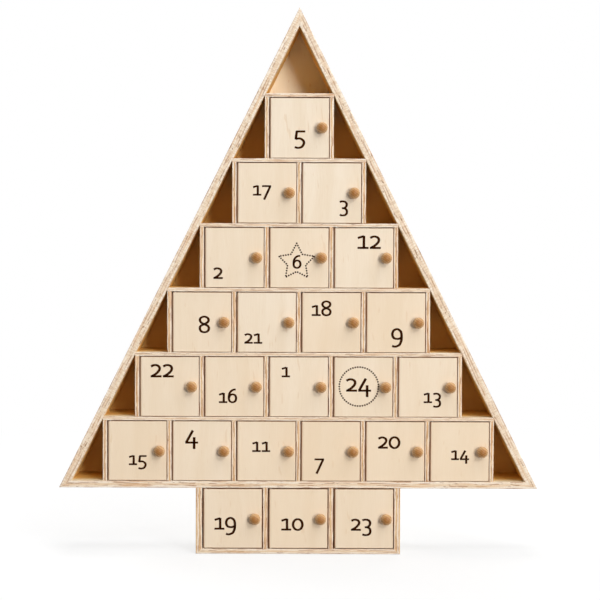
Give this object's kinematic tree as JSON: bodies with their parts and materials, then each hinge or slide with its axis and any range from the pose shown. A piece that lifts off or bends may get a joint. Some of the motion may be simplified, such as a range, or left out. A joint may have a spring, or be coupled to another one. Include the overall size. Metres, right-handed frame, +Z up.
{
  "type": "wooden advent calendar",
  "caption": "Tree-shaped plywood cabinet on a box base, with rows of cells closed by small hinged doors with turned knobs, and open niches along its slopes.",
  "frame": {"origin": "middle of the base's underside", "axes": "+Z up the tree, +Y from the doors to the back panel, +X to the viewer's right"},
  "size_m": [0.386, 0.0683, 0.4394],
  "materials": {
    "birch_plywood": "sanded birch plywood, ply layers showing on its edges",
    "door_plywood": "sanded birch veneer with a printed number",
    "turned_beech": "turned and sanded",
    "bright_steel": "plain drawn wire"
  },
  "bodies": {
    "frame": {"left_side_board": "birch_plywood", "right_side_board": "birch_plywood", "tree_floor_board": "birch_plywood", "shelf_boards": "birch_plywood", "row_dividers": "birch_plywood", "base_uprights": "birch_plywood", "base_floor_board": "birch_plywood", "tree_back_panel": "birch_plywood", "base_back_panel": "birch_plywood", "door_stops": "birch_plywood", "hinge_pins": "bright_steel", "back_brads": "bright_steel"},
    "leaf_01": {"door_01": "door_plywood", "knob_01": "turned_beech"},
    "leaf_02": {"door_02": "door_plywood", "knob_02": "turned_beech"},
    "leaf_03": {"door_03": "door_plywood", "knob_03": "turned_beech"},
    "leaf_04": {"door_04": "door_plywood", "knob_04": "turned_beech"},
    "leaf_05": {"door_05": "door_plywood", "knob_05": "turned_beech"},
    "leaf_06": {"door_06": "door_plywood", "knob_06": "turned_beech"},
    "leaf_07": {"door_07": "door_plywood", "knob_07": "turned_beech"},
    "leaf_08": {"door_08": "door_plywood", "knob_08": "turned_beech"},
    "leaf_09": {"door_09": "door_plywood", "knob_09": "turned_beech"},
    "leaf_10": {"door_10": "door_plywood", "knob_10": "turned_beech"},
    "leaf_11": {"door_11": "door_plywood", "knob_11": "turned_beech"},
    "leaf_12": {"door_12": "door_plywood", "knob_12": "turned_beech"},
    "leaf_13": {"door_13": "door_plywood", "knob_13": "turned_beech"},
    "leaf_14": {"door_14": "door_plywood", "knob_14": "turned_beech"},
    "leaf_15": {"door_15": "door_plywood", "knob_15": "turned_beech"},
    "leaf_16": {"door_16": "door_plywood", "knob_16": "turned_beech"},
    "leaf_17": {"door_17": "door_plywood", "knob_17": "turned_beech"},
    "leaf_18": {"door_18": "door_plywood", "knob_18": "turned_beech"},
    "leaf_19": {"door_19": "door_plywood", "knob_19": "turned_beech"},
    "leaf_20": {"door_20": "door_plywood", "knob_20": "turned_beech"},
    "leaf_21": {"door_21": "door_plywood", "knob_21": "turned_beech"},
    "leaf_22": {"door_22": "door_plywood", "knob_22": "turned_beech"},
    "leaf_23": {"door_23": "door_plywood", "knob_23": "turned_beech"},
    "leaf_24": {"door_24": "door_plywood", "knob_24": "turned_beech"}
  },
  "joints": [
    {"name": "door_01_hinge", "type": "hinge", "parent": "frame", "child": "leaf_01", "pos_m": [-0.0218, -0.0275, 0.1354], "axis": [0, 0, -1], "range_deg": [0, 100]},
    {"name": "door_02_hinge", "type": "hinge", "parent": "frame", "child": "leaf_02", "pos_m": [-0.0738, -0.0275, 0.2394], "axis": [0, 0, -1], "range_deg": [0, 100]},
    {"name": "door_03_hinge", "type": "hinge", "parent": "frame", "child": "leaf_03", "pos_m": [0.0042, -0.0275, 0.2914], "axis": [0, 0, -1], "range_deg": [0, 100]},
    {"name": "door_04_hinge", "type": "hinge", "parent": "frame", "child": "leaf_04", "pos_m": [-0.0998, -0.0275, 0.0834], "axis": [0, 0, -1], "range_deg": [0, 100]},
    {"name": "door_05_hinge", "type": "hinge", "parent": "frame", "child": "leaf_05", "pos_m": [-0.0218, -0.0275, 0.3434], "axis": [0, 0, -1], "range_deg": [0, 100]},
    {"name": "door_06_hinge", "type": "hinge", "parent": "frame", "child": "leaf_06", "pos_m": [-0.0218, -0.0275, 0.2394], "axis": [0, 0, -1], "range_deg": [0, 100]},
    {"name": "door_07_hinge", "type": "hinge", "parent": "frame", "child": "leaf_07", "pos_m": [0.0042, -0.0275, 0.0834], "axis": [0, 0, -1], "range_deg": [0, 100]},
    {"name": "door_08_hinge", "type": "hinge", "parent": "frame", "child": "leaf_08", "pos_m": [-0.0998, -0.0275, 0.1874], "axis": [0, 0, -1], "range_deg": [0, 100]},
    {"name": "door_09_hinge", "type": "hinge", "parent": "frame", "child": "leaf_09", "pos_m": [0.0562, -0.0275, 0.1874], "axis": [0, 0, -1], "range_deg": [0, 100]},
    {"name": "door_10_hinge", "type": "hinge", "parent": "frame", "child": "leaf_10", "pos_m": [-0.0218, -0.0275, 0.02865], "axis": [0, 0, -1], "range_deg": [0, 100]},
    {"name": "door_11_hinge", "type": "hinge", "parent": "frame", "child": "leaf_11", "pos_m": [-0.0478, -0.0275, 0.0834], "axis": [0, 0, -1], "range_deg": [0, 100]},
    {"name": "door_12_hinge", "type": "hinge", "parent": "frame", "child": "leaf_12", "pos_m": [0.0302, -0.0275, 0.2394], "axis": [0, 0, -1], "range_deg": [0, 100]},
    {"name": "door_13_hinge", "type": "hinge", "parent": "frame", "child": "leaf_13", "pos_m": [0.0822, -0.0275, 0.1354], "axis": [0, 0, -1], "range_deg": [0, 100]},
    {"name": "door_14_hinge", "type": "hinge", "parent": "frame", "child": "leaf_14", "pos_m": [0.1082, -0.0275, 0.0834], "axis": [0, 0, -1], "range_deg": [0, 100]},
    {"name": "door_15_hinge", "type": "hinge", "parent": "frame", "child": "leaf_15", "pos_m": [-0.1518, -0.0275, 0.0834], "axis": [0, 0, -1], "range_deg": [0, 100]},
    {"name": "door_16_hinge", "type": "hinge", "parent": "frame", "child": "leaf_16", "pos_m": [-0.0738, -0.0275, 0.1354], "axis": [0, 0, -1], "range_deg": [0, 100]},
    {"name": "door_17_hinge", "type": "hinge", "parent": "frame", "child": "leaf_17", "pos_m": [-0.0478, -0.0275, 0.2914], "axis": [0, 0, -1], "range_deg": [0, 100]},
    {"name": "door_18_hinge", "type": "hinge", "parent": "frame", "child": "leaf_18", "pos_m": [0.0042, -0.0275, 0.1874], "axis": [0, 0, -1], "range_deg": [0, 100]},
    {"name": "door_19_hinge", "type": "hinge", "parent": "frame", "child": "leaf_19", "pos_m": [-0.0748, -0.0275, 0.02865], "axis": [0, 0, -1], "range_deg": [0, 100]},
    {"name": "door_20_hinge", "type": "hinge", "parent": "frame", "child": "leaf_20", "pos_m": [0.0562, -0.0275, 0.0834], "axis": [0, 0, -1], "range_deg": [0, 100]},
    {"name": "door_21_hinge", "type": "hinge", "parent": "frame", "child": "leaf_21", "pos_m": [-0.0478, -0.0275, 0.1874], "axis": [0, 0, -1], "range_deg": [0, 100]},
    {"name": "door_22_hinge", "type": "hinge", "parent": "frame", "child": "leaf_22", "pos_m": [-0.1258, -0.0275, 0.1354], "axis": [0, 0, -1], "range_deg": [0, 100]},
    {"name": "door_23_hinge", "type": "hinge", "parent": "frame", "child": "leaf_23", "pos_m": [0.0312, -0.0275, 0.02865], "axis": [0, 0, -1], "range_deg": [0, 100]},
    {"name": "door_24_hinge", "type": "hinge", "parent": "frame", "child": "leaf_24", "pos_m": [0.0302, -0.0275, 0.1354], "axis": [0, 0, -1], "range_deg": [0, 100]}
  ]
}
